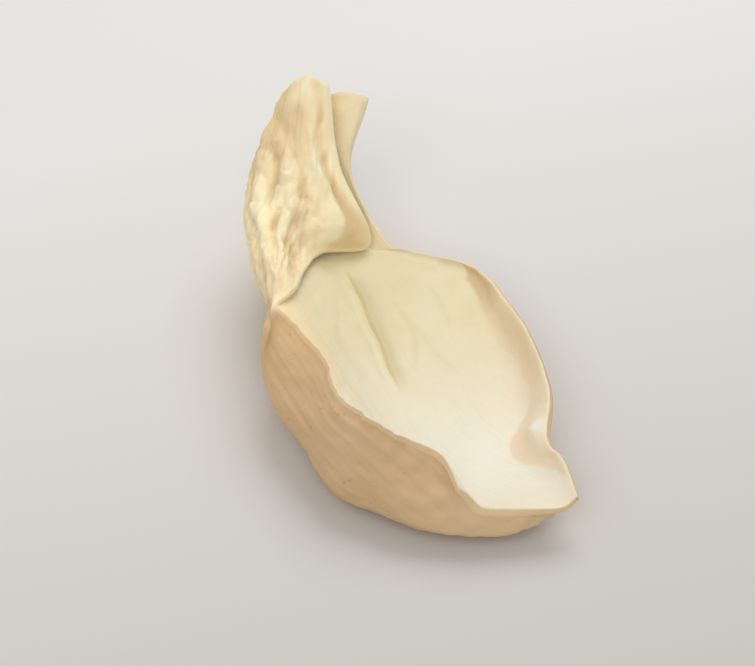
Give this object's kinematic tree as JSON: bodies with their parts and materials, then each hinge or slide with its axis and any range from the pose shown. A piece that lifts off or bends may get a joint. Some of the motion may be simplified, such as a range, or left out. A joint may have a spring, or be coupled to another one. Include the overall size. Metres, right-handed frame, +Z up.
{
  "type": "dried king oyster mushroom slice",
  "caption": "Curled slice of dried king oyster mushroom: a shallow dish of thick stem that narrows to a rolled, gilled neck.",
  "frame": {"origin": "bottom centre of the slice's bounding box, on the surface that it lies on", "axes": "+Y along the slice, from the lip of the stem to the rolled neck; +Z up, out of the dish; +X to the low rim"},
  "size_m": [0.0362, 0.0708, 0.0266],
  "materials": {
    "flesh": "matt, dry"
  },
  "bodies": {
    "root": {"mushroom_slice": "flesh"}
  },
  "joints": []
}
